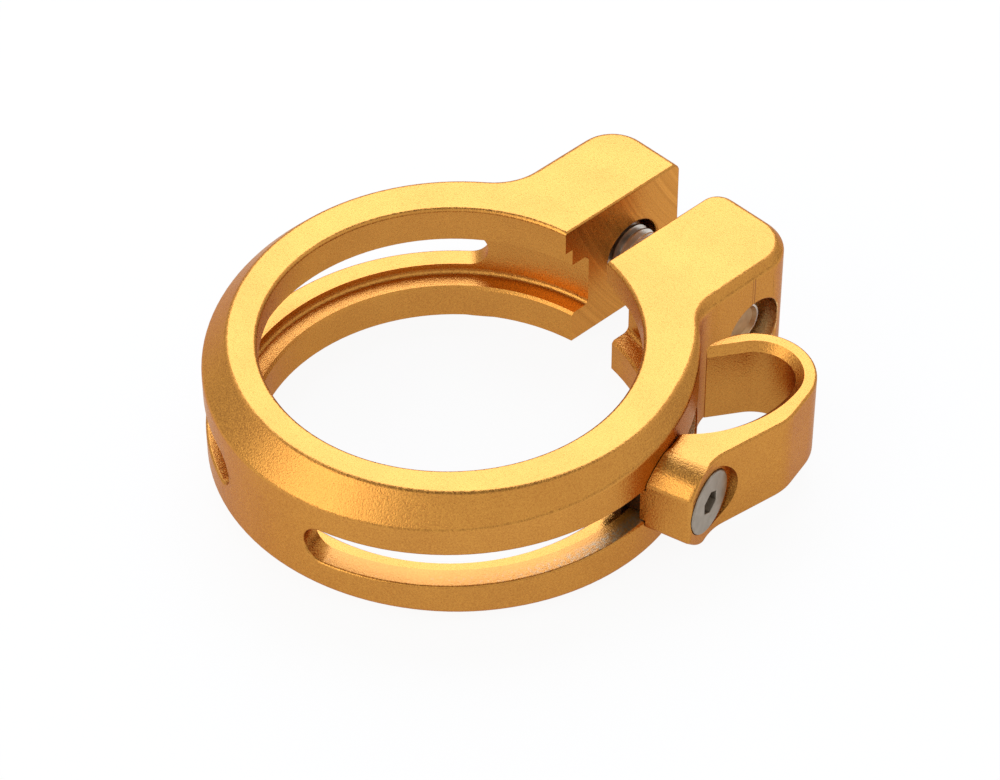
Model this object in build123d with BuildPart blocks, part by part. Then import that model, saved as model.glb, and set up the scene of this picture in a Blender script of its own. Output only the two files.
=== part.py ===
from build123d import *
from math import asin, atan2, cos, degrees, isclose, radians, sin, sqrt, tan
import os

# Seatpost clamp: a slotted collar closed by one cap screw across its ears, with a hooked cable guide
# that a screw and a T-nut hold anywhere along the collar's side slot. Millimetres, +Z up.
# The origin is on the bore's axis at the bottom face, and the ears point to +Y.

# Collar, bore and groove
bore_radius = 17.45
lip_step = 0.85
lip_height = 2.4
upper_land = 1.8
groove_height = 5.8
lower_land = 3.4
groove_depth = 2.05
groove_corner = 0.6
edge_break = 0.25
wall_thickness = 2.0

# Bevels, widest at the front and narrow at the ears, with a second cut towards the right ear
front_bevel = 2.45
rear_bevel = 0.7
bevel_angle = 47
right_bevel_shift = 2.65
right_bevel_setback = 2.25

# Side slots, measured round from +X
slot_height = 3.7
bridge_centre = -91.7
bridge_angle = 26.9
slot_rear = 52.5

# Ears
gap_width = 5.14
right_ear_thickness = 10.1
left_ear_thickness = 8.7
bolt_standoff = 3.5
ear_margin = 5.95
ear_blend = 5.0
right_bevel_blend = -1.5
left_ear_corner = 3.8
right_ear_corner = 4.25
right_gap_corner = 1.6
left_gap_corner = 0.35

# Clamp bolt
bolt_diameter = 5.0
bolt_length = 18.0
bolt_tip = 0.5
bolt_head_diameter = 8.5
bolt_head_height = 5.0
bolt_hex = 4.0
bolt_hex_depth = 2.5
bolt_head_edge = 0.4
bolt_seat_depth = 4.5
bolt_hole_clearance = 0.65
bolt_head_clearance = 0.4
thread_relief_clearance = 0.8
thread_relief_depth = 3.0

# Cable guide, drawn with its first axis out along the guide screw
guide_angle = 15
guide_height = 8.5
guide_wall = 1.8
boss_thickness = 4.1
boss_end = 3.2
key_depth = 0.5
boss_chamfer = 1.8
boss_rounding = 0.4
arm_slope = 23
arm_bend = 5.0
mouth_start = 2.7
eye_radius = 3.4
eye_standoff = 1.95
eye_reach = 12.1
shoulder_length = 2.7
eye_chamfer = 0.7
tip_wrap = 133
tip_gap = 0.7

# Guide screw, with a right-angled countersunk head that stands a rim's height proud of the boss
screw_diameter = 3.0
screw_length = 8.0
screw_tip = 0.3
screw_head_diameter = 6.0
screw_rim = 0.2
screw_rim_edge = 0.1
screw_hex = 2.0
screw_hex_depth = 1.1
spotface_clearance = 0.4

# T-nut
nut_length = 6.9
neck_length = 5.0

# Running clearances, each on one side
thread_clearance = 0.05
seat_clearance = 0.05
slide_clearance = 0.15
slot_clearance = 0.1

# Levels and radii that follow
lip_radius = bore_radius - lip_step
groove_radius = bore_radius + groove_depth
wall_radius = groove_radius + wall_thickness
groove_top = lower_land + groove_height
lip_bottom = groove_top + upper_land
height = lip_bottom + lip_height
middle = lower_land + groove_height / 2

left_face = -(gap_width / 2 + left_ear_thickness)
right_face = gap_width / 2 + right_ear_thickness
bolt_y = wall_radius + bolt_standoff
ear_end = bolt_y + ear_margin

bolt_axis = Plane(origin=(left_face + bolt_seat_depth - seat_clearance, bolt_y, middle), z_dir=(1, 0, 0))
guide_plane = Plane(origin=(0, 0, middle), x_dir=(cos(radians(guide_angle)), sin(radians(guide_angle)), 0))
boss_face = wall_radius + boss_thickness
screw_axis = Plane(
    origin=guide_plane.from_local_coords(Vector(boss_face, 0, 0)),
    x_dir=(0, 0, 1),
    z_dir=guide_plane.x_dir,
)
along = Axis((0, 0, 0), guide_plane.y_dir)


def ring_and_ears(ring_radius, ring_y, inset, right_ring=None, right_extra=0):
    """Plan of the collar: a ring blended into two ears, set in from their sides, with the gap between."""
    left = left_face + inset
    right = right_face - inset
    end = ear_end - inset
    with Locations((0, ring_y)):
        Circle(ring_radius)
    if right_ring:
        with BuildLine() as sector:
            quarter = CenterArc((0, right_bevel_shift), right_ring, 0, 90)
            Polyline(quarter @ 1, (0, right_bevel_shift), quarter @ 0)
        make_face(sector.edges())
    with Locations(((left + right) / 2, end / 2)):
        Rectangle(right - left, end)
    for side, extra, corner in ((-1, 0, left_ear_corner), (1, right_extra, right_ear_corner)):
        root = vertices().filter_by(lambda v: v.X * side > 0).sort_by(Axis.Y)[-2]
        fillet(root, radius=ear_blend + inset + extra)
        outer = vertices().filter_by(lambda v: v.X * side > 0).sort_by(Axis.Y)[-1]
        fillet(outer, radius=corner - inset)
    with Locations((0, end / 2)):
        Rectangle(gap_width, end, mode=Mode.SUBTRACT)
    fillet(vertices().group_by(Axis.Y)[-1].sort_by(Axis.X)[1], radius=left_gap_corner)
    fillet(vertices().group_by(Axis.Y)[-1].sort_by(Axis.X)[-2], radius=right_gap_corner)


# Collar: one turned and milled piece of aluminium
with BuildPart() as collar:
    # The bevels are two equal cones about a shared axis ahead of the bore's, mirrored about the slots
    bevel_ring = wall_radius - (front_bevel + rear_bevel) / 2
    bevel_y = (front_bevel - rear_bevel) / 2
    bevel_reach = front_bevel + edge_break
    bevel_drop = bevel_reach * tan(radians(bevel_angle))
    bottom_growth = (height - 2 * middle) / tan(radians(bevel_angle))
    bevel_levels = (
        (height, 0),
        (height - bevel_drop, bevel_reach),
        (2 * middle - height + bevel_drop, bevel_reach),
        (0, bottom_growth),
    )
    for level, growth in bevel_levels:
        with BuildSketch(Plane.XY.offset(level)):
            right_ring = wall_radius - right_bevel_setback + growth
            ring_and_ears(bevel_ring + growth, bevel_y, rear_bevel - growth, right_ring, right_bevel_blend)
    loft(ruled=True)

    # Upright wall and ear sides, parted by the gap
    with BuildSketch():
        ring_and_ears(wall_radius, 0, 0)
    extrude(amount=height, mode=Mode.INTERSECT)

    # Stepped bore: two lands that grip the tube, the groove between them and the lip that stops it
    with BuildSketch(Plane.XZ):
        with BuildLine():
            Polyline(
                (0, 0),
                (bore_radius, 0),
                (bore_radius, lower_land - edge_break),
                (bore_radius + edge_break, lower_land),
                (groove_radius, lower_land),
                (groove_radius, groove_top),
                (bore_radius, groove_top),
                (bore_radius, lip_bottom),
                (lip_radius, lip_bottom),
                (lip_radius, height - edge_break),
                (lip_radius + edge_break, height),
                (0, height),
                close=True,
            )
        make_face()
        fillet(vertices().group_by(Axis.X)[-1], radius=groove_corner)
    revolve(axis=Axis.Z, mode=Mode.SUBTRACT)

    # Two round-ended slots through the wall, on either side of the plain bridge at the front
    slot_end = degrees(asin(slot_height / 2 / wall_radius))
    right_start = bridge_centre + bridge_angle / 2
    left_start = bridge_centre - bridge_angle / 2 + 360
    for first, last in ((right_start, slot_rear), (180 - slot_rear, left_start)):
        with BuildSketch(Plane.XZ.rotated((0, 0, first + slot_end))):
            with Locations((wall_radius, middle)):
                Rectangle(2 * wall_thickness + groove_corner, slot_height)
        revolve(axis=Axis.Z, revolution_arc=last - first - 2 * slot_end, mode=Mode.SUBTRACT)
        for end in (first + slot_end, last - slot_end):
            bearing = (cos(radians(end)), sin(radians(end)), 0)
            with BuildSketch(Plane(origin=(0, 0, middle), z_dir=bearing)):
                Circle(slot_height / 2)
            extrude(amount=wall_radius + wall_thickness, mode=Mode.SUBTRACT)

    # Clearance hole and head seat in the left ear, thread with a relief in the right ear
    with Locations(Plane(origin=(left_face, bolt_y, middle), z_dir=(-1, 0, 0))):
        CounterBoreHole(
            radius=bolt_diameter / 2 + bolt_hole_clearance,
            counter_bore_radius=bolt_head_diameter / 2 + bolt_head_clearance,
            counter_bore_depth=bolt_seat_depth,
            depth=left_ear_thickness + gap_width / 2,
        )
    with Locations(Plane(origin=(right_face, bolt_y, middle), z_dir=(1, 0, 0))):
        CounterBoreHole(
            radius=bolt_diameter / 2 + thread_clearance,
            counter_bore_radius=bolt_diameter / 2 + thread_relief_clearance,
            counter_bore_depth=thread_relief_depth,
            depth=right_ear_thickness + gap_width / 2,
        )

# Clamp bolt: socket cap screw, its head sunk in the left ear and its plain end in the right one
with BuildPart() as clamp_bolt:
    with BuildSketch(bolt_axis):
        Circle(bolt_diameter / 2)
    extrude(amount=bolt_length)
    chamfer(edges().group_by(Axis.X)[-1], length=bolt_tip)
    with BuildSketch(bolt_axis):
        Circle(bolt_head_diameter / 2)
    extrude(amount=-bolt_head_height)
    fillet(edges().group_by(Axis.X)[0], radius=bolt_head_edge)
    with BuildSketch(bolt_axis.offset(-bolt_head_height)):
        RegularPolygon(radius=bolt_hex / 2, side_count=6, major_radius=False)
    extrude(amount=bolt_hex_depth, mode=Mode.SUBTRACT)

# Cable guide: a hook that ends clear of the collar, on a boss that sits on its wall and keys in its slot
with BuildPart() as cable_guide:
    eye_centre = wall_radius + eye_standoff
    hook_radius = eye_radius + guide_wall
    with BuildSketch(guide_plane.offset(-guide_height / 2)):
        # Outside of the boss, the arm and the hook
        with BuildLine():
            far_bend = CenterArc((eye_centre, eye_reach), hook_radius, 0, 180)
            shoulder_y = eye_reach - shoulder_length
            shoulder = CenterArc((eye_centre, shoulder_y), hook_radius, -arm_slope, arm_slope)
            arm_end = shoulder @ 0
            arm_root = (boss_face, arm_end.Y - (arm_end.X - boss_face) / tan(radians(arm_slope)))
            Line(shoulder @ 1, far_bend @ 0)
            Polyline(
                far_bend @ 1,
                (eye_centre - hook_radius, -boss_end),
                (boss_face, -boss_end),
                arm_root,
                arm_end,
            )
        make_face()
        fillet(vertices().sort_by_distance(arm_root)[0], radius=arm_bend)

        # Inside of the eye: round at the far end, straight to the tip, swept in to the mouth by the boss
        with BuildLine():
            mouth = (sqrt(wall_radius**2 - mouth_start**2), mouth_start)
            eye_bend = CenterArc((eye_centre, eye_reach), eye_radius, 0, tip_wrap)
            TangentArc(eye_bend @ 0, mouth, tangent=(0, -1))
            leg_end = eye_bend @ 1 + (eye_bend % 1) * 2 * eye_radius
            Polyline(eye_bend @ 1, leg_end, (leg_end.X, mouth_start), mouth)
        make_face(mode=Mode.SUBTRACT)

        # Seat on the collar's wall, and the tip cut back from it
        Circle(wall_radius + slide_clearance, mode=Mode.SUBTRACT)
        with BuildLine():
            tip_bearing = degrees(atan2(eye_reach, eye_centre))
            tip_cut = CenterArc((0, 0), wall_radius + tip_gap, tip_bearing / 2, tip_bearing)
            Polyline(tip_cut @ 1, (0, 0), tip_cut @ 0)
        make_face(mode=Mode.SUBTRACT)
    extrude(amount=guide_height)

    # Roof-shaped end of the boss with a soft outer edge, and the chamfered rims of the eye
    boss_end_face = faces().sort_by(along)[0]
    chamfer(boss_end_face.edges().filter_by(Axis.Z, reverse=True), length=boss_chamfer)
    boss_outer_face = faces().filter_by(screw_axis).sort_by_distance(screw_axis.origin)[0]
    boss_flat = arm_root[1] - arm_bend * tan(radians(arm_slope / 2)) + boss_end - boss_chamfer
    fillet(boss_outer_face.edges().sort_by(along)[:3], radius=min(boss_rounding, boss_flat / 2))
    rims = edges().filter_by(GeomType.CIRCLE).filter_by(lambda e: isclose(e.radius, eye_radius))
    chamfer(rims, length=eye_chamfer)

    # Key on the back of the boss that keeps it square in the slot
    with BuildSketch(guide_plane):
        Circle(boss_face - boss_thickness / 2)
        Circle(wall_radius - key_depth, mode=Mode.SUBTRACT)
        with Locations((wall_radius, (mouth_start - boss_end) / 2)):
            Rectangle(wall_radius, mouth_start + boss_end, mode=Mode.INTERSECT)
    extrude(amount=slot_height / 2 - slot_clearance, both=True)

    # Spotface across the root of the arm, and the countersunk screw hole
    with BuildSketch(screw_axis):
        Circle(screw_head_diameter / 2 + spotface_clearance)
    extrude(amount=boss_thickness, mode=Mode.SUBTRACT)
    with Locations(screw_axis):
        CounterSinkHole(
            radius=screw_diameter / 2 + thread_clearance,
            counter_sink_radius=screw_head_diameter / 2 + seat_clearance,
            counter_sink_angle=90,
            depth=2 * boss_thickness,
        )

# Guide screw: countersunk, with a small hex socket
with BuildPart() as guide_bolt:
    with BuildSketch(Plane(origin=screw_axis.origin, x_dir=screw_axis.z_dir, z_dir=guide_plane.y_dir)):
        with BuildLine():
            cone_end = -(screw_head_diameter - screw_diameter) / 2
            Polyline(
                (screw_rim, 0),
                (screw_rim, screw_head_diameter / 2 - screw_rim_edge),
                (screw_rim - screw_rim_edge, screw_head_diameter / 2),
                (0, screw_head_diameter / 2),
                (cone_end, screw_diameter / 2),
                (screw_rim - screw_length + screw_tip, screw_diameter / 2),
                (screw_rim - screw_length, screw_diameter / 2 - screw_tip),
                (screw_rim - screw_length, 0),
                close=True,
            )
        make_face()
    revolve(axis=Axis(screw_axis.origin, screw_axis.z_dir))
    with BuildSketch(screw_axis.offset(screw_rim)):
        RegularPolygon(radius=screw_hex / 2, side_count=6, major_radius=False)
    extrude(amount=-screw_hex_depth, mode=Mode.SUBTRACT)

# T-nut: a curved flange behind the wall, with a neck that stands in the slot and stops it turning
with BuildPart() as guide_nut:
    flange_radius = groove_radius - slide_clearance
    with BuildSketch(guide_plane):
        Circle(flange_radius)
        Circle(bore_radius + slide_clearance, mode=Mode.SUBTRACT)
        with Locations((wall_radius, 0)):
            Rectangle(wall_radius, nut_length, mode=Mode.INTERSECT)
    extrude(amount=groove_height / 2 - groove_corner, both=True)
    with BuildSketch(guide_plane):
        Circle(wall_radius - key_depth - slide_clearance)
        Circle(bore_radius + slide_clearance, mode=Mode.SUBTRACT)
        with Locations((wall_radius, 0)):
            Rectangle(wall_radius, neck_length, mode=Mode.INTERSECT)
    extrude(amount=slot_height / 2 - slot_clearance, both=True)
    with Locations(screw_axis):
        Hole(radius=screw_diameter / 2 + thread_clearance, depth=boss_face)

collar.part.label = "collar"
clamp_bolt.part.label = "clamp_bolt"
cable_guide.part.label = "cable_guide"
guide_bolt.part.label = "guide_bolt"
guide_nut.part.label = "guide_nut"

os.makedirs("parts", exist_ok=True)
export_step(collar.part, "parts/collar.step")
export_step(clamp_bolt.part, "parts/clamp_bolt.step")
export_step(cable_guide.part, "parts/cable_guide.step")
export_step(guide_bolt.part, "parts/guide_bolt.step")
export_step(guide_nut.part, "parts/guide_nut.step")
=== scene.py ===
from math import cos, pi, radians, sin, sqrt

import bpy
from mathutils import Euler, Matrix, Vector


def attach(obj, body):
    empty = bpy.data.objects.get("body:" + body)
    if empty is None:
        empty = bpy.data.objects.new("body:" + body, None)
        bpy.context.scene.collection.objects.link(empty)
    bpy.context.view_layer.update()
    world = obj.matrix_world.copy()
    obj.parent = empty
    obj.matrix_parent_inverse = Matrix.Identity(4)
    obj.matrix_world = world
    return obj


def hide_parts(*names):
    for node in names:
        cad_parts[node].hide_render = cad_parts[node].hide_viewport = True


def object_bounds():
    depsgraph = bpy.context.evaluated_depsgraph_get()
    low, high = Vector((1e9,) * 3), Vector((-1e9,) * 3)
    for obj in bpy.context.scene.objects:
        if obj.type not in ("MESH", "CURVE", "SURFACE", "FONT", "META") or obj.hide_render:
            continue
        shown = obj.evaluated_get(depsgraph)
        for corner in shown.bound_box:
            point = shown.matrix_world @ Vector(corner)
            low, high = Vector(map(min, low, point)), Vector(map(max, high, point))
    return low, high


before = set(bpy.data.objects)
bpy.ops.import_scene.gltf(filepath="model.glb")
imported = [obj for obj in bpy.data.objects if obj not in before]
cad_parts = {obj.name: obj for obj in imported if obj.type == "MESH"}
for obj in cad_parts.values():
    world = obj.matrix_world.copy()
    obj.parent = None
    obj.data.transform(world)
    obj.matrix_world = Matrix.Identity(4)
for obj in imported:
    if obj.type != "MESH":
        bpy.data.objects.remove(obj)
cad_low, cad_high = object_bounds()


# Collar: the ring that grips the seat tube, turned and milled from one billet of aluminium with its bore,
# slots and ears. It was deburred, blasted with fine beads and then anodised, so its outer edges are soft
# and its faces have an even sparkle.
MM = 0.001
merge_distance = 0.001 * MM
collar_rounding = 0.25
fine_rounding = 0.12
fine_top = 0.5
fine_radius = 17.1
bored_radius = 20.9
bored_bottom = 0.2
bored_top = 13.0
left_foot_top = 0.3
left_foot_x = (-13.5, -10.8)
left_foot_y = (13, 20)
slot_floor_z = 4.45
slot_middle_z = 6.3
gap_half = 2.57
ear_start_x = 2.77
ear_start_y = 21
ear_wall_x = 12.67
ear_hole_y = 25.0


def shade_evenly(piece):
    """Shade the active piece smooth over its roundings and flat over its broad faces."""
    bpy.ops.object.shade_smooth_by_angle(angle=radians(30))
    evened = piece.modifiers.new("evened", "WEIGHTED_NORMAL")
    evened.keep_sharp = True
    bpy.ops.object.modifier_apply(modifier="evened")


def deburred(node, name, rounding_at, sharp_from=24):
    """A copy of a machined piece, its sharp corners rounded by the millimetres that suit each place."""
    bpy.ops.object.select_all(action="DESELECT")
    piece = bpy.data.objects.new(name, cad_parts[node].data.copy())
    bpy.context.collection.objects.link(piece)
    piece.data.materials.clear()
    piece.select_set(True)
    bpy.context.view_layer.objects.active = piece
    bpy.ops.mesh.customdata_custom_splitnormals_clear()
    bpy.ops.object.mode_set(mode="EDIT")
    bpy.ops.mesh.select_mode(type="EDGE")
    bpy.ops.mesh.select_all(action="SELECT")
    bpy.ops.mesh.remove_doubles(threshold=merge_distance)
    bpy.ops.mesh.select_all(action="SELECT")
    bpy.ops.mesh.dissolve_limited(angle_limit=radians(0.3))
    bpy.ops.mesh.select_all(action="DESELECT")
    bpy.ops.mesh.edges_select_sharp(sharpness=radians(sharp_from))
    bpy.ops.object.mode_set(mode="OBJECT")
    ends = piece.data.vertices
    softness = piece.data.attributes.new("bevel_weight_edge", "FLOAT", "EDGE")
    for edge in piece.data.edges:
        if edge.select:
            middle = (ends[edge.vertices[0]].co + ends[edge.vertices[1]].co) / 2
            softness.data[edge.index].value = rounding_at(middle / MM)
    rounded = piece.modifiers.new("rounded", "BEVEL")
    rounded.limit_method = "WEIGHT"
    rounded.width = 1 * MM
    rounded.segments = 4
    rounded.use_clamp_overlap = False
    rounded.miter_outer = "MITER_ARC"
    bpy.ops.object.modifier_apply(modifier="rounded")
    piece.data.attributes.remove(piece.data.attributes["bevel_weight_edge"])
    shade_evenly(piece)
    return piece


def collar_softness(point):
    """Outer corners are soft, those of the foot and lip less so. Bore, groove and left foot are as cut."""
    from_axis = point.xy.length
    bored = from_axis < bored_radius and bored_bottom < point.z < bored_top
    in_ear = abs(point.x) > ear_start_x and point.y > ear_start_y
    on_left_foot = (
        point.z < left_foot_top
        and left_foot_x[0] < point.x < left_foot_x[1]
        and left_foot_y[0] < point.y < left_foot_y[1]
    )
    if on_left_foot or (bored and not in_ear):
        return 0
    return fine_rounding if point.z < fine_top or from_axis < fine_radius else collar_rounding


def linear(hex_colour):
    """Linear colour of an sRGB hex value."""
    channels = [int(hex_colour[i:i + 2], 16) / 255 for i in (1, 3, 5)]
    return [c / 12.92 if c <= 0.04045 else ((c + 0.055) / 1.055) ** 2.4 for c in channels] + [1]


def shader(tree, kind, inputs=None, **settings):
    """Add a node with its settings, and link or set each of its inputs."""
    made = tree.nodes.new(kind)
    for name, value in settings.items():
        setattr(made, name, value)
    for name, value in (inputs or {}).items():
        if isinstance(value, bpy.types.NodeSocket):
            tree.links.new(value, made.inputs[name])
        else:
            made.inputs[name].default_value = value
    return made


def tint_between(ramp, *stops):
    """Set a ramp's two ends, each to a position and a hex colour."""
    for end, (position, hex_colour) in zip(ramp.color_ramp.elements, stops):
        end.position = position
        end.color = linear(hex_colour)


# Gold anodised aluminium, blasted with 0.1 mm beads. The dents are drawn at 0.16 mm so that they show: a
# fine sparkle under a clear dyed film that lays a pale sheen over the gold.
blast_dent = 0.16 * MM
dent_depth = 0.032 * MM
dye_patch = 5 * MM
dent_weight = 0.8
patch_weight = 0.2
gold = bpy.data.materials.new("gold_anodised_aluminium")
gold.use_nodes = True
tree = gold.node_tree
tree.nodes.clear()
place = shader(tree, "ShaderNodeTexCoord").outputs["Object"]
dents = shader(
    tree, "ShaderNodeTexNoise", {"Vector": place, "Scale": 1 / blast_dent, "Detail": 2.0, "Roughness": 0.6}
).outputs["Fac"]
patches = shader(
    tree, "ShaderNodeTexNoise", {"Vector": place, "Scale": 1 / dye_patch, "Detail": 3.0, "Roughness": 0.5}
).outputs["Fac"]
patch_share = shader(
    tree, "ShaderNodeMath", {0: patches, 1: patch_weight}, operation="MULTIPLY"
).outputs["Value"]
speckled = shader(
    tree, "ShaderNodeMath", {0: dents, 1: dent_weight, 2: patch_share}, operation="MULTIPLY_ADD"
).outputs["Value"]
gold_tint = shader(tree, "ShaderNodeValToRGB", {"Fac": speckled}, name="gold_tint")
tint_between(gold_tint, (0.34, "#bb7a2c"), (0.66, "#d8983e"))
dented = shader(
    tree, "ShaderNodeBump", {"Height": dents, "Strength": 1.0, "Distance": dent_depth}, name="dented"
).outputs["Normal"]
dent_gloss = shader(
    tree,
    "ShaderNodeMapRange",
    {"Value": dents, "From Min": 0.3, "From Max": 0.7, "To Min": 0.2, "To Max": 0.42},
    name="dent_gloss",
).outputs["Result"]
satin = shader(
    tree,
    "ShaderNodeBsdfPrincipled",
    {
        "Base Color": gold_tint.outputs["Color"],
        "Metallic": 1.0,
        "Roughness": dent_gloss,
        "Specular Tint": linear("#d9a860"),
        "Coat Weight": 0.45,
        "Coat Roughness": 0.3,
        "Normal": dented,
        "Coat Normal": dented,
    },
    name="satin",
)
shader(tree, "ShaderNodeOutputMaterial", {"Surface": satin.outputs["BSDF"]})

# The same aluminium with a hairline above the screw's hole, where a burr was dressed off the right ear: a
# dark scratch and a fainter one beside it, each a tenth of a millimetre wide.
scratch_y = 24.75 * MM
scratch_step = 0.25 * MM
scratch_half_width = 0.05 * MM
scratch_z = 11.1 * MM
scratch_half_length = 1.5 * MM
scratch_from_x = (ear_wall_x - 0.4) * MM
faint_share = 0.7
scratched = gold.copy()
scratched.name = "scratched_anodised_aluminium"
tree = scratched.node_tree
place = shader(tree, "ShaderNodeTexCoord").outputs["Object"]
across = shader(tree, "ShaderNodeSeparateXYZ", {"Vector": place})
on_wall = shader(
    tree, "ShaderNodeMath", {0: across.outputs["X"], 1: scratch_from_x}, operation="GREATER_THAN"
).outputs["Value"]
high = shader(
    tree,
    "ShaderNodeMath",
    {0: across.outputs["Z"], 1: scratch_z, 2: scratch_half_length},
    operation="COMPARE",
).outputs["Value"]
main_line = shader(
    tree,
    "ShaderNodeMath",
    {0: across.outputs["Y"], 1: scratch_y, 2: scratch_half_width},
    operation="COMPARE",
).outputs["Value"]
faint_line = shader(
    tree,
    "ShaderNodeMath",
    {0: across.outputs["Y"], 1: scratch_y - scratch_step, 2: scratch_half_width},
    operation="COMPARE",
).outputs["Value"]
lines = shader(
    tree, "ShaderNodeMath", {0: faint_line, 1: faint_share, 2: main_line}, operation="MULTIPLY_ADD"
).outputs["Value"]
ear_only = shader(tree, "ShaderNodeMath", {0: on_wall, 1: high}, operation="MULTIPLY").outputs["Value"]
scratch = shader(tree, "ShaderNodeMath", {0: lines, 1: ear_only}, operation="MULTIPLY").outputs["Value"]
scratch_tint = shader(
    tree,
    "ShaderNodeMix",
    {0: scratch, 6: tree.nodes["gold_tint"].outputs["Color"], 7: linear("#94591c")},
    data_type="RGBA",
)
tree.links.new(scratch_tint.outputs[2], tree.nodes["satin"].inputs["Base Color"])

# The same aluminium on the slot's floor, where the guide has been slid to and fro: the film is rubbed
# through to grey-brown metal in a mottled band along the outer edge, most of all beside the guide.
rub_fleck = 0.3 * MM
rub_inner_radius = 20.0 * MM
rub_outer_radius = 20.5 * MM
rub_front_y = -16 * MM
rub_guide_y = 3 * MM
guide_rub = 0.3
rub_start = 0.6
rub_full = 0.85
rubbed = gold.copy()
rubbed.name = "rubbed_anodised_aluminium"
tree = rubbed.node_tree
place = shader(tree, "ShaderNodeTexCoord").outputs["Object"]
flecks = shader(
    tree, "ShaderNodeTexNoise", {"Vector": place, "Scale": 1 / rub_fleck, "Detail": 4.0, "Roughness": 0.7}
).outputs["Fac"]
level = shader(
    tree, "ShaderNodeVectorMath", {0: place, 1: (1, 1, 0)}, operation="MULTIPLY"
).outputs["Vector"]
radius = shader(tree, "ShaderNodeVectorMath", {0: level}, operation="LENGTH").outputs["Value"]
outer_edge = shader(
    tree,
    "ShaderNodeMapRange",
    {"Value": radius, "From Min": rub_inner_radius, "From Max": rub_outer_radius},
).outputs["Result"]
along = shader(tree, "ShaderNodeSeparateXYZ", {"Vector": place}).outputs["Y"]
beside_guide = shader(
    tree,
    "ShaderNodeMapRange",
    {"Value": along, "From Min": rub_front_y, "From Max": rub_guide_y, "To Max": guide_rub},
).outputs["Result"]
rub_level = shader(tree, "ShaderNodeMath", {0: flecks, 1: beside_guide}, operation="ADD").outputs["Value"]
rub_patch = shader(
    tree, "ShaderNodeMapRange", {"Value": rub_level, "From Min": rub_start, "From Max": rub_full}
).outputs["Result"]
rub = shader(tree, "ShaderNodeMath", {0: rub_patch, 1: outer_edge}, operation="MULTIPLY").outputs["Value"]
rub_tint = shader(
    tree,
    "ShaderNodeMix",
    {0: rub, 6: tree.nodes["gold_tint"].outputs["Color"], 7: linear("#b39a72")},
    data_type="RGBA",
)
tree.links.new(rub_tint.outputs[2], tree.nodes["satin"].inputs["Base Color"])
tree.nodes["satin"].inputs["Metallic"].default_value = 0.8
tree.nodes["dented"].inputs["Strength"].default_value = 0.5
tree.nodes["dent_gloss"].inputs["To Min"].default_value = 0.3
tree.nodes["dent_gloss"].inputs["To Max"].default_value = 0.44

# The same aluminium on the faces of the gap, which a slitting saw cut after the blasting: fine arcs about
# the saw's axis stand out instead of the sparkle.
saw_mark = 0.5 * MM
saw_groove = 0.015 * MM
saw_axis = Vector((0, 60, 30)) * MM
sawn = gold.copy()
sawn.name = "sawn_anodised_aluminium"
tree = sawn.node_tree
place = shader(tree, "ShaderNodeTexCoord").outputs["Object"]
from_saw = shader(
    tree, "ShaderNodeVectorMath", {0: place, 1: saw_axis}, operation="SUBTRACT"
).outputs["Vector"]
flat = shader(
    tree, "ShaderNodeVectorMath", {0: from_saw, 1: (0, 1, 1)}, operation="MULTIPLY"
).outputs["Vector"]
reach = shader(tree, "ShaderNodeVectorMath", {0: flat}, operation="LENGTH").outputs["Value"]
arcs = shader(
    tree,
    "ShaderNodeTexNoise",
    {"W": reach, "Scale": 1 / saw_mark, "Detail": 3.0, "Roughness": 0.7},
    noise_dimensions="1D",
).outputs["Fac"]
saw_tint = shader(tree, "ShaderNodeValToRGB", {"Fac": arcs})
tint_between(saw_tint, (0.3, "#c68432"), (0.7, "#dd9842"))
sawn_grooves = shader(
    tree, "ShaderNodeBump", {"Height": arcs, "Strength": 0.4, "Distance": saw_groove}
).outputs["Normal"]
tree.links.new(saw_tint.outputs["Color"], tree.nodes["satin"].inputs["Base Color"])
tree.links.new(sawn_grooves, tree.nodes["satin"].inputs["Normal"])
tree.links.new(sawn_grooves, tree.nodes["satin"].inputs["Coat Normal"])

# The same aluminium in the right ear's hole, cut by the drill and the counterbore, in a paler gold: painted
# light that lifts the shade inside the hole
hole_centre = Vector((ear_hole_y, slot_middle_z))
hole_start_x = 3.57
hole_radius = 3.3
hole_painted_light = gold.copy()
hole_painted_light.name = "hole_painted_light_aluminium"
tint_between(hole_painted_light.node_tree.nodes["gold_tint"], (0.34, "#e2b274"), (0.66, "#f4cf94"))

collar = deburred("collar", "collar_body", collar_softness)
for finish_or_painted_light in (scratched, rubbed, sawn, hole_painted_light):
    collar.data.materials.append(finish_or_painted_light)
slack = 0.1
for face in collar.data.polygons:
    middle = face.center / MM
    from_hole = (middle.yz - hole_centre).length
    if face.normal.z > 0.9 and abs(middle.z - slot_floor_z) < 2 * slack and middle.x > 0:
        face.material_index = 1
    elif abs(face.normal.x) > 0.99 and abs(abs(middle.x) - gap_half) < slack:
        face.material_index = 2
    # the faces inside the right ear's hole take the paler gold, painted light over the hole's shade
    elif hole_start_x < middle.x < ear_wall_x - slack and from_hole < hole_radius + slack:
        face.material_index = 3
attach(collar, "collar")
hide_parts("collar")

# Clamp bolt: a stainless M5 cap screw with a knurled head and a hex socket. It drops into the counterbore
# of the left ear, crosses the gap and is threaded into the right ear, where its dished end shows.
bolt_y = ear_hole_y * MM
bolt_z = slot_middle_z * MM
bolt_axis = Vector((bolt_y, bolt_z))
along_x = Euler((0, pi / 2, 0))
bolt_head_end = -11.82 * MM
bolt_head_seat = -6.82 * MM
bolt_tip = 11.18 * MM
thread_radius = 2.49 * MM
thread_pitch = 0.8 * MM
thread_depth = 0.46 * MM
thread_flat = 0.2 * thread_pitch
thread_flank = 0.3 * thread_pitch
thread_turns = 26
thread_steps = 48
thread_into_head = 0.7 * MM
thread_seam = 0.002 * MM


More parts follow.
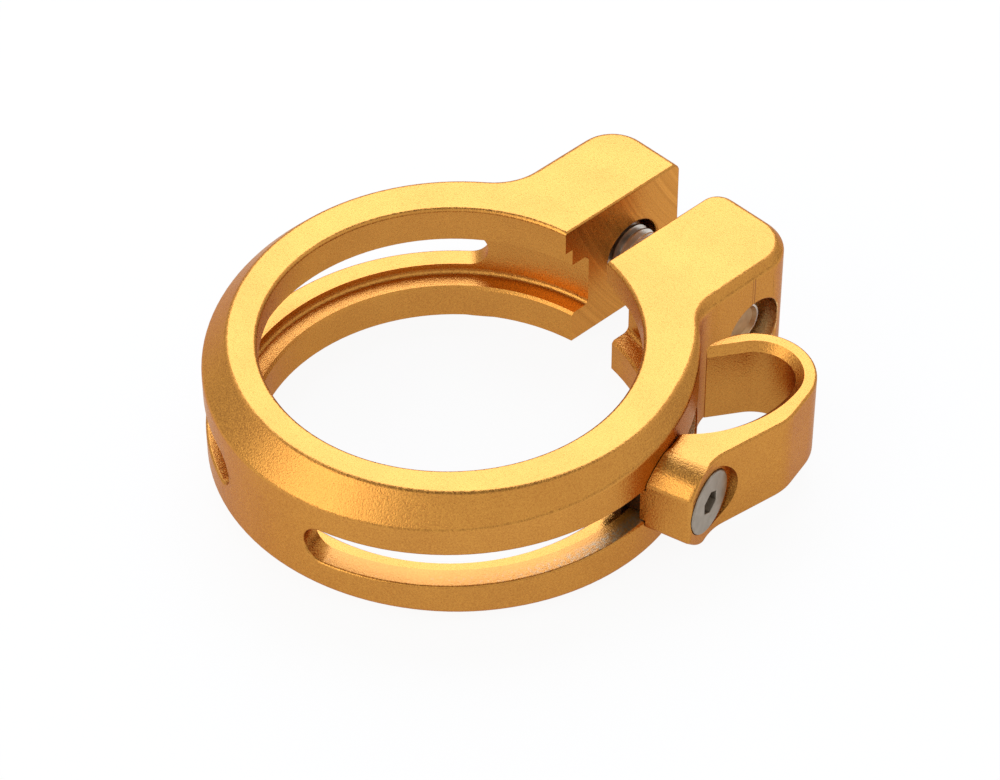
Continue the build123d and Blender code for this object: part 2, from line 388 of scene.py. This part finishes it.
def select_faces(piece, wanted):
    """Select the faces of the piece being edited that a test of their middle and normal picks out."""
    bpy.ops.mesh.select_mode(type="FACE")
    bpy.ops.mesh.select_all(action="DESELECT")
    bpy.ops.object.mode_set(mode="OBJECT")
    for face in piece.data.polygons:
        face.select = wanted(face.center, face.normal)
    bpy.ops.object.mode_set(mode="EDIT")


def cut_with(piece, tool, operation):
    """Cut a piece with a tool's shape, or join the two, and clear the tool away."""
    bpy.ops.object.select_all(action="DESELECT")
    piece.select_set(True)
    bpy.context.view_layer.objects.active = piece
    cut = piece.modifiers.new("cut", "BOOLEAN")
    cut.operation = operation
    cut.solver = "EXACT"
    cut.object = tool
    bpy.ops.object.modifier_apply(modifier="cut")
    bpy.data.objects.remove(tool)


def turned_bar(radius, start, end, sides):
    """A round bar along the bolt's axis, with its place in its mesh."""
    bpy.ops.object.select_all(action="DESELECT")
    bpy.ops.mesh.primitive_cylinder_add(
        vertices=sides,
        radius=radius,
        depth=end - start,
        location=((start + end) / 2, bolt_y, bolt_z),
        rotation=along_x,
    )
    bpy.ops.object.transform_apply(location=True, rotation=True, scale=True)
    return bpy.context.object


# Thread: one pitch of its outline wound about the axis
bpy.ops.object.select_all(action="DESELECT")
bpy.ops.mesh.primitive_plane_add(
    size=0.1 * MM, location=(bolt_head_seat - 2 * thread_pitch, bolt_y, bolt_z)
)
bolt = bpy.context.object
bolt.name = "cap_screw"
bpy.ops.object.mode_set(mode="EDIT")
bpy.ops.mesh.select_mode(type="VERT")
bpy.ops.mesh.select_all(action="SELECT")
bpy.ops.mesh.merge(type="CENTER")
bpy.ops.transform.translate(value=(0, thread_radius - thread_depth, 0))
for advance, rise in (
    (thread_flat, 0),
    (thread_flank, thread_depth),
    (thread_flat, 0),
    (thread_flank, -thread_depth),
):
    bpy.ops.mesh.extrude_region_move(TRANSFORM_OT_translate={"value": (advance, rise, 0)})
bpy.ops.object.mode_set(mode="OBJECT")
wound = bolt.modifiers.new("wound", "SCREW")
wound.axis = "X"
wound.angle = 2 * pi
wound.screw_offset = thread_pitch
wound.iterations = thread_turns
wound.steps = thread_steps
wound.render_steps = thread_steps
bpy.ops.object.modifier_apply(modifier="wound")
bpy.ops.object.transform_apply(location=True, rotation=True, scale=True)
bpy.ops.object.mode_set(mode="EDIT")
bpy.ops.mesh.select_all(action="SELECT")
bpy.ops.mesh.remove_doubles(threshold=thread_seam)
for cut_x, side in ((bolt_head_seat - thread_into_head, -1), (bolt_tip, 1)):
    bpy.ops.mesh.select_all(action="SELECT")
    bpy.ops.mesh.bisect(
        plane_co=(cut_x, bolt_y, bolt_z),
        plane_no=(side, 0, 0),
        use_fill=True,
        clear_outer=True,
        threshold=0.0001 * MM,
    )
bpy.ops.mesh.select_all(action="SELECT")
bpy.ops.mesh.normals_make_consistent(inside=False)
bpy.ops.object.mode_set(mode="OBJECT")

# Blank: the plain bar that the thread is rolled on, chamfered at its tip. Rolling leaves the end dished.
blank_radius = thread_radius + 0.01 * MM
blank_start = bolt_head_seat - 2 * MM
tip_chamfer = 0.5 * MM
tip_rim = 0.16 * MM
tip_dish = 0.3 * MM
tip_dish_slope = 0.3 * MM
blank = turned_bar(blank_radius, blank_start, bolt_tip, 2 * thread_steps)
bpy.ops.object.mode_set(mode="EDIT")
select_faces(blank, lambda middle, normal: normal.x > 0.9)
bpy.ops.mesh.region_to_loop()
bpy.ops.mesh.bevel(offset=tip_chamfer, segments=1, affect="EDGES")
select_faces(blank, lambda middle, normal: normal.x > 0.9)
bpy.ops.mesh.inset(thickness=tip_rim)
bpy.ops.mesh.inset(thickness=tip_dish_slope, depth=-tip_dish)
bpy.ops.object.mode_set(mode="OBJECT")
cut_with(bolt, blank, "INTERSECT")

# Head: turned with a soft rim, then knurled round its side
head_radius = 4.25 * MM
head_rim = 0.4 * MM
knurl_ridges = 40
knurl_border = 0.08 * MM
knurl_depth = 0.1 * MM
head = turned_bar(head_radius, bolt_head_end, bolt_head_seat, 2 * knurl_ridges)
bpy.ops.object.mode_set(mode="EDIT")
select_faces(head, lambda middle, normal: normal.x < -0.9)
bpy.ops.mesh.region_to_loop()
bpy.ops.mesh.bevel(offset=head_rim, segments=4, affect="EDGES")


def knurl_groove(middle, normal):
    """Every second facet of the head's side."""
    around = Vector((0, 1)).angle_signed(middle.yz - bolt_axis)
    facet = around / (pi / knurl_ridges)
    return abs(normal.x) < 0.1 and int(facet + 2 * knurl_ridges) % 2 == 0


select_faces(head, knurl_groove)
bpy.ops.mesh.inset(thickness=knurl_border, depth=-knurl_depth, use_individual=True)
bpy.ops.object.mode_set(mode="OBJECT")

# Socket: a hexagon with the drill's cone at its bottom
key_across_flats = 4.0 * MM
key_depth = 2.5 * MM
socket_overrun = 0.5 * MM
socket_ledge = 0.4 * MM
drill_cone = 0.6 * MM
socket = turned_bar(key_across_flats / sqrt(3), bolt_head_end - socket_overrun, bolt_head_end + key_depth, 6)
bpy.ops.object.mode_set(mode="EDIT")
select_faces(socket, lambda middle, normal: normal.x > 0.9)
bpy.ops.mesh.inset(thickness=socket_ledge)
bpy.ops.mesh.extrude_region_move(TRANSFORM_OT_translate={"value": (drill_cone, 0, 0)})
bpy.ops.mesh.merge(type="CENTER")
bpy.ops.mesh.select_all(action="SELECT")
bpy.ops.mesh.normals_make_consistent(inside=False)
bpy.ops.object.mode_set(mode="OBJECT")
cut_with(head, socket, "DIFFERENCE")
cut_with(bolt, head, "UNION")
bpy.ops.object.mode_set(mode="EDIT")
bpy.ops.mesh.select_all(action="SELECT")
bpy.ops.mesh.remove_doubles(threshold=merge_distance)
bpy.ops.mesh.normals_make_consistent(inside=False)
bpy.ops.object.mode_set(mode="OBJECT")
bpy.ops.object.shade_smooth_by_angle(angle=radians(28))

# Stainless steel, rolled and turned: bright grey with fine rings about the screw's axis and a thin film of
# oil that leaves it a little uneven
turning_mark = 0.12 * MM
turning_depth = 0.006 * MM
oil_patch = 0.8 * MM
stainless = bpy.data.materials.new("stainless_steel")
stainless.use_nodes = True
tree = stainless.node_tree
tree.nodes.clear()
place = shader(tree, "ShaderNodeTexCoord").outputs["Object"]
about_axis = shader(
    tree, "ShaderNodeMapping", {"Vector": place, "Location": (0, -bolt_y, -bolt_z)}, name="about_axis"
).outputs["Vector"]
rings = shader(
    tree,
    "ShaderNodeTexWave",
    {"Vector": about_axis, "Scale": pi / 10 / turning_mark, "Distortion": 2.0, "Detail": 2.0},
    wave_type="RINGS",
    rings_direction="X",
).outputs["Fac"]
oil = shader(
    tree, "ShaderNodeTexNoise", {"Vector": place, "Scale": 1 / oil_patch, "Detail": 4.0}
).outputs["Fac"]
steel_tint = shader(tree, "ShaderNodeValToRGB", {"Fac": oil}, name="steel_tint")
tint_between(steel_tint, (0.3, "#cdc5ba"), (0.7, "#e0d8cd"))
oil_gloss = shader(
    tree, "ShaderNodeMapRange", {"Value": oil, "To Min": 0.28, "To Max": 0.42}, name="oil_gloss"
).outputs["Result"]
turned = shader(
    tree, "ShaderNodeBump", {"Height": rings, "Strength": 0.2, "Distance": turning_depth}
).outputs["Normal"]
bright = shader(
    tree,
    "ShaderNodeBsdfPrincipled",
    {
        "Base Color": steel_tint.outputs["Color"],
        "Metallic": 1.0,
        "Roughness": oil_gloss,
        "Normal": turned,
    },
)
shader(tree, "ShaderNodeOutputMaterial", {"Surface": bright.outputs["BSDF"]})
bolt.data.materials.append(stainless)

# The same steel on the bottom of the screw's dished end, tinted a duller, darker brown over the grey
dish_radius = thread_radius - tip_chamfer - tip_rim
dish_top = 0.3 * tip_dish
dish_bottom = 1.1 * tip_dish
dish_browned = stainless.copy()
dish_browned.name = "brown_dish_steel"
tree = dish_browned.node_tree
tint_between(tree.nodes["steel_tint"], (0.3, "#b08d66"), (0.7, "#c8a57c"))
tree.nodes["oil_gloss"].inputs["To Min"].default_value = 0.4
tree.nodes["oil_gloss"].inputs["To Max"].default_value = 0.52
bolt.data.materials.append(dish_browned)
for face in bolt.data.polygons:
    depth = bolt_tip - face.center.x
    from_axis = (face.center.yz - bolt_axis).length
    if face.normal.x > 0.5 and dish_top < depth < dish_bottom and from_axis < dish_radius:
        face.material_index = 1
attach(bolt, "clamp_screw")
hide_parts("clamp_bolt")

# Guide nut: a T-nut of blackened steel in the collar's inner groove. Its neck stands in the slot, so it
# can't turn, and its flange bears on the groove's wall when the guide's screw draws it up.
nut_rounding = 0.1
nut = deburred("guide_nut", "t_nut", lambda point: nut_rounding)

# Black oxide on steel: a dark film over a drawn surface, with brown where it is thin
oxide_patch = 0.7 * MM
oxide_depth = 0.02 * MM
blackened = bpy.data.materials.new("black_oxide_steel")
blackened.use_nodes = True
tree = blackened.node_tree
tree.nodes.clear()
place = shader(tree, "ShaderNodeTexCoord").outputs["Object"]
film = shader(
    tree, "ShaderNodeTexNoise", {"Vector": place, "Scale": 1 / oxide_patch, "Detail": 5.0, "Roughness": 0.6}
).outputs["Fac"]
film_tint = shader(tree, "ShaderNodeValToRGB", {"Fac": film})
tint_between(film_tint, (0.35, "#35302a"), (0.7, "#6a5a48"))
drawn = shader(
    tree, "ShaderNodeBump", {"Height": film, "Strength": 0.3, "Distance": oxide_depth}
).outputs["Normal"]
dark = shader(
    tree,
    "ShaderNodeBsdfPrincipled",
    {"Base Color": film_tint.outputs["Color"], "Metallic": 1.0, "Roughness": 0.42, "Normal": drawn},
)
shader(tree, "ShaderNodeOutputMaterial", {"Surface": dark.outputs["BSDF"]})
nut.data.materials.append(blackened)
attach(nut, "guide")
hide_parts("guide_nut")

# Cable guide: a hook milled from the same aluminium as the collar, blasted and anodised with it. A key on
# its back runs in the slot, and its loop holds a cable's housing against the wall.
guide_turn = radians(15)
guide_out = Vector((cos(guide_turn), sin(guide_turn), 0))
guide_along = Vector((-sin(guide_turn), cos(guide_turn), 0))
guide_rounding = 0.25
guide_tip = Vector((14.35, 17.22))
tip_bare = 0.5
tip_taper = 0.12
boss_limit = -0.6
screw_seat_out = 18
screw_seat_radius = 3.9


def guide_softness(point):
    """Corners are soft, but less so by the hook's tip. Those of the boss's end and screw are as cut."""
    reach = point - Vector((0, 0, slot_middle_z))
    along = reach.dot(guide_along)
    at_screw = reach.dot(guide_out) > screw_seat_out and sqrt(along**2 + reach.z**2) < screw_seat_radius
    if at_screw or along < boss_limit:
        return 0
    from_tip = (point.xy - guide_tip).length
    return min(guide_rounding, max(0, tip_taper * (from_tip - tip_bare)))


guide = deburred("cable_guide", "guide_hook", guide_softness, sharp_from=50)


def select_ridges(piece, place):
    """Select the edges of the block being edited that run out from the collar at a place along the boss."""
    bpy.ops.mesh.select_mode(type="EDGE")
    bpy.ops.mesh.select_all(action="DESELECT")
    bpy.ops.object.mode_set(mode="OBJECT")
    ends = piece.data.vertices
    for edge in piece.data.edges:
        first, second = (ends[corner].co for corner in edge.vertices)
        outward = abs((second - first).normalized().dot(guide_out)) > 0.9
        edge.select = outward and abs(first.dot(guide_along) - place) < 0.1 * MM
    bpy.ops.object.mode_set(mode="EDIT")


# Roof of the boss: a block with the same slopes but well rounded ridges, which trims the boss's own
guide_half_height = 4.25 * MM
boss_end = 3.2 * MM
roof_length = 40 * MM
roof_slack = 0.004 * MM
roof_chamfer = 1.8 * MM
roof_rounding = 1.4 * MM
roof_end_rounding = 0.3 * MM
roof_middle = guide_along * (roof_length / 2 - boss_end - roof_slack) + Vector((0, 0, bolt_z))
bpy.ops.object.select_all(action="DESELECT")
bpy.ops.mesh.primitive_cube_add(
    size=1,
    location=guide_out * roof_length / 2 + roof_middle,
    rotation=(0, 0, guide_turn),
    scale=(roof_length, roof_length, 2 * (guide_half_height + roof_slack)),
)
bpy.ops.object.transform_apply(location=True, rotation=True, scale=True)
roof = bpy.context.object
bpy.ops.object.mode_set(mode="EDIT")
select_ridges(roof, -boss_end)
bpy.ops.mesh.bevel(offset=roof_chamfer, segments=1, affect="EDGES")
select_ridges(roof, -boss_end)
bpy.ops.mesh.bevel(offset=roof_end_rounding, segments=4, affect="EDGES")
select_ridges(roof, roof_chamfer - boss_end)
bpy.ops.mesh.bevel(offset=roof_rounding, segments=8, affect="EDGES")
bpy.ops.object.mode_set(mode="OBJECT")
cut_with(guide, roof, "INTERSECT")

# Seat of the boss: drawn in until only a hair's gap is left at the wall
seat_radius = 21.65 * MM
seat_tolerance = 0.05 * MM
seat_growth = 0.1 * MM


def on_seat(middle, normal):
    """The boss's curved face towards the collar."""
    return normal.dot(guide_out) < -0.9 and abs(middle.xy.length - seat_radius) < seat_tolerance


bpy.ops.object.mode_set(mode="EDIT")
select_faces(guide, on_seat)
bpy.ops.transform.translate(value=-seat_growth * guide_out)
bpy.ops.object.mode_set(mode="OBJECT")
shade_evenly(guide)
guide.data.materials.append(gold)
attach(guide, "guide")
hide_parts("cable_guide")

# Guide screw: a stainless M3 countersunk screw with a 2 mm hex socket, driven flush into the guide's boss
# and threaded into the T-nut.
screw_rounding = 0.08
screw = deburred("guide_bolt", "countersunk_screw", lambda point: screw_rounding)

# Stainless steel with a satin face: greyer than the bolt, with rings from facing its head
satin_steel = stainless.copy()
satin_steel.name = "satin_stainless_steel"
tree = satin_steel.node_tree
tree.nodes["about_axis"].inputs["Location"].default_value = (0, 0, -bolt_z)
tree.nodes["about_axis"].inputs["Rotation"].default_value = (0, 0, -guide_turn)
tint_between(tree.nodes["steel_tint"], (0.3, "#938879"), (0.7, "#a89d8f"))
tree.nodes["oil_gloss"].inputs["To Min"].default_value = 0.34
tree.nodes["oil_gloss"].inputs["To Max"].default_value = 0.46
screw.data.materials.append(satin_steel)
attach(screw, "guide_screw")
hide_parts("guide_bolt")

# Floor: a wide sheet of white paper that the clamp lies on. It shows white, takes a faint shadow and is
# mirrored in the metal at part of its brightness.
floor_size = 8.0
white_share = 0.92
mirrored_share = 0.65
bpy.ops.object.select_all(action="DESELECT")
bpy.ops.mesh.primitive_plane_add(size=floor_size, location=(0, 0, cad_low.z))
floor = bpy.context.object
floor.name = "floor"
paper = bpy.data.materials.new("white_paper")
paper.use_nodes = True
tree = paper.node_tree
tree.nodes.clear()
ray = shader(tree, "ShaderNodeLightPath")
seen = shader(
    tree,
    "ShaderNodeMath",
    {0: ray.outputs["Is Camera Ray"], 1: ray.outputs["Is Transmission Ray"]},
    operation="MAXIMUM",
).outputs["Value"]
seen_share = shader(
    tree, "ShaderNodeMath", {0: seen, 1: white_share}, operation="MULTIPLY"
).outputs["Value"]
share = shader(
    tree,
    "ShaderNodeMath",
    {0: ray.outputs["Is Glossy Ray"], 1: mirrored_share, 2: seen_share},
    operation="MULTIPLY_ADD",
).outputs["Value"]
matt = shader(tree, "ShaderNodeBsdfDiffuse", {"Color": linear("#f4f4f2")}).outputs["BSDF"]
white = shader(tree, "ShaderNodeEmission", {"Color": (1, 1, 1, 1), "Strength": 1.0}).outputs["Emission"]
mixed = shader(tree, "ShaderNodeMixShader", {0: share, 1: matt, 2: white}).outputs["Shader"]
shader(tree, "ShaderNodeOutputMaterial", {"Surface": mixed})
floor.data.materials.append(paper)

# Studio light: a pale room that is dimmer towards the horizon and straight above, a large box of cool
# daylight behind, which the top faces reflect, and a white one at the front left for the bevel
room_levels = ((0, 0.4), (0.5, 0.97), (0.76, 0.97), (0.92, 0.3))
studio = bpy.data.worlds.new("studio")
bpy.context.scene.world = studio
studio.use_nodes = True
tree = studio.node_tree
tree.nodes.clear()
direction = shader(tree, "ShaderNodeTexCoord").outputs["Generated"]
height = shader(tree, "ShaderNodeSeparateXYZ", {"Vector": direction}).outputs["Z"]
room = shader(tree, "ShaderNodeValToRGB", {"Fac": height})
for position, _ in room_levels[1:-1]:
    room.color_ramp.elements.new(position)
for stop, (position, brightness) in zip(room.color_ramp.elements, room_levels):
    stop.position = position
    stop.color = (brightness, brightness, brightness, 1)
air = shader(
    tree, "ShaderNodeBackground", {"Color": room.outputs["Color"], "Strength": 1.0}
).outputs["Background"]
shader(tree, "ShaderNodeOutputWorld", {"Surface": air})


def softbox(name, towards, distance, size, radiance, tint):
    """A square soft lamp that faces the clamp from a given direction."""
    lamp = bpy.data.lights.new(name, "AREA")
    lamp.size = size
    lamp.color = linear(tint)[:3]
    lamp.energy = radiance * pi * size**2
    placed = bpy.data.objects.new(name, lamp)
    bpy.context.collection.objects.link(placed)
    direction = Vector(towards).normalized()
    placed.location = direction * distance
    placed.rotation_euler = direction.to_track_quat("Z", "Y").to_euler()


softbox("top_softbox", (-0.5, 0.47, 0.72), distance=0.6, size=0.48, radiance=3.6, tint="#ccdbff")
softbox("front_left_softbox", (-0.22, -0.84, 0.49), distance=0.7, size=0.45, radiance=2.1, tint="#ffffff")

# Camera at the photo's angle
view_azimuth = 46.64
view_elevation = 43.08
view_roll = -0.35
camera_place = Vector((170.42, -155.40, 222.24)) * MM
lens = bpy.data.cameras.new("camera")
lens.sensor_width = 36
lens.lens = 130.5
lens.shift_x = 0.0025
lens.shift_y = 0.0018
lens.clip_start = 0.01
lens.clip_end = 10
camera = bpy.data.objects.new("camera", lens)
bpy.context.collection.objects.link(camera)
camera.location = camera_place
aimed = Euler((radians(90 - view_elevation), 0, radians(view_azimuth))).to_matrix()
camera.rotation_euler = (aimed @ Matrix.Rotation(radians(view_roll), 3, "Z")).to_euler()
bpy.context.scene.camera = camera

bpy.context.scene.view_settings.view_transform = "Standard"
